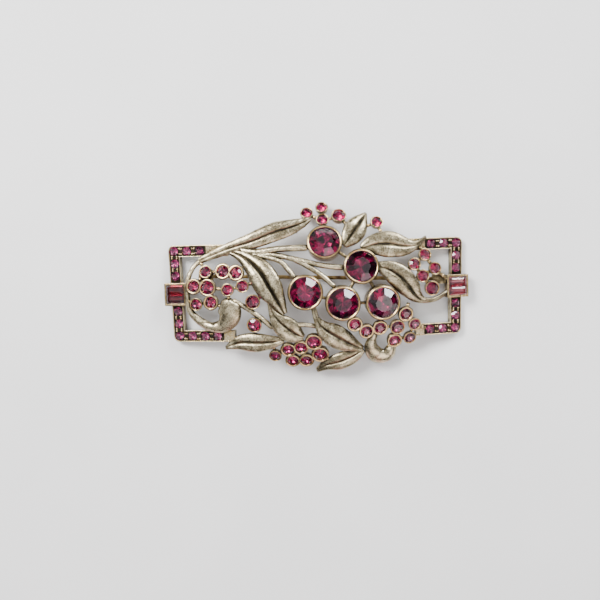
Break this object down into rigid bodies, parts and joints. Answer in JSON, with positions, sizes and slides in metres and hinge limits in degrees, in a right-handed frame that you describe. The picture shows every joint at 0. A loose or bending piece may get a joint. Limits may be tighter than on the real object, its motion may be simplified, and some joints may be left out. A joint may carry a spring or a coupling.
{
  "type": "rhinestone hair clip",
  "caption": "Domed openwork spray of leaves and round stones between two stone-set C-shaped end frames, on a hinged rod clasp with a roll-over catch.",
  "frame": {"origin": "middle of the clip's length and height, on the plane that it rests on", "axes": "+X runs along the clip from the hinge end to the catch end, +Y towards the upper edge, +Z out of the decorated face"},
  "size_m": [0.072, 0.0404, 0.0108],
  "materials": {
    "cast_metal": "antiqued, dark in the grooves",
    "clasp_metal": "drawn and gilt",
    "large_stones": "faceted, foiled back",
    "small_stones": "faceted, foiled back",
    "pave_stones": "faceted, foiled back",
    "dark_baguettes": "step cut, foiled back",
    "pale_baguettes": "step cut, foiled back"
  },
  "bodies": {
    "ornament": {"left_frame": "cast_metal", "right_frame": "cast_metal", "left_box": "cast_metal", "right_box": "cast_metal", "left_pave_stones": "pave_stones", "right_pave_stones": "pave_stones", "left_baguettes": "dark_baguettes", "right_baguettes": "pale_baguettes", "long_leaf": "cast_metal", "left_leaf": "cast_metal", "top_leaf": "cast_metal", "upper_right_leaf": "cast_metal", "right_leaf": "cast_metal", "frame_leaf": "cast_metal", "centre_leaf": "cast_metal", "lower_leaf": "cast_metal", "bottom_leaf": "cast_metal", "left_scroll": "cast_metal", "right_scroll": "cast_metal", "bud_stem": "cast_metal", "upper_stem": "cast_metal", "middle_stem": "cast_metal", "lower_stem": "cast_metal", "short_stem": "cast_metal", "twigs": "cast_metal", "large_cup_1": "cast_metal", "large_cup_2": "cast_metal", "large_cup_3": "cast_metal", "large_cup_4": "cast_metal", "large_cup_5": "cast_metal", "cup_bridges": "cast_metal", "large_stone_1": "large_stones", "large_stone_2": "large_stones", "large_stone_3": "large_stones", "large_stone_4": "large_stones", "large_stone_5": "large_stones", "left_cups": "cast_metal", "lower_left_cups": "cast_metal", "top_cups": "cast_metal", "right_cups": "cast_metal", "lower_right_cups": "cast_metal", "middle_cups": "cast_metal", "bottom_cups": "cast_metal", "left_stones": "small_stones", "lower_left_stones": "small_stones", "top_stones": "small_stones", "right_stones": "small_stones", "lower_right_stones": "small_stones", "middle_stones": "small_stones", "bottom_stones": "small_stones", "hinge_bracket": "clasp_metal", "hinge_rivet": "clasp_metal", "catch_body": "clasp_metal"},
    "clasp_bar": {"clasp_bar": "clasp_metal"},
    "lock_sleeve": {"lock_sleeve": "clasp_metal"}
  },
  "joints": [
    {"name": "bar_hinge", "type": "hinge", "parent": "ornament", "child": "clasp_bar", "pos_m": [-0.02588, 0.00349, 0.0014], "axis": [0.0419, 0.9991, 0], "range_deg": [0, 110]},
    {"name": "lock_turn", "type": "hinge", "parent": "ornament", "child": "lock_sleeve", "pos_m": [0.02907, 0.00119, 0.0014], "axis": [-0.9991, 0.0419, 0], "range_deg": [0, 120]}
  ]
}
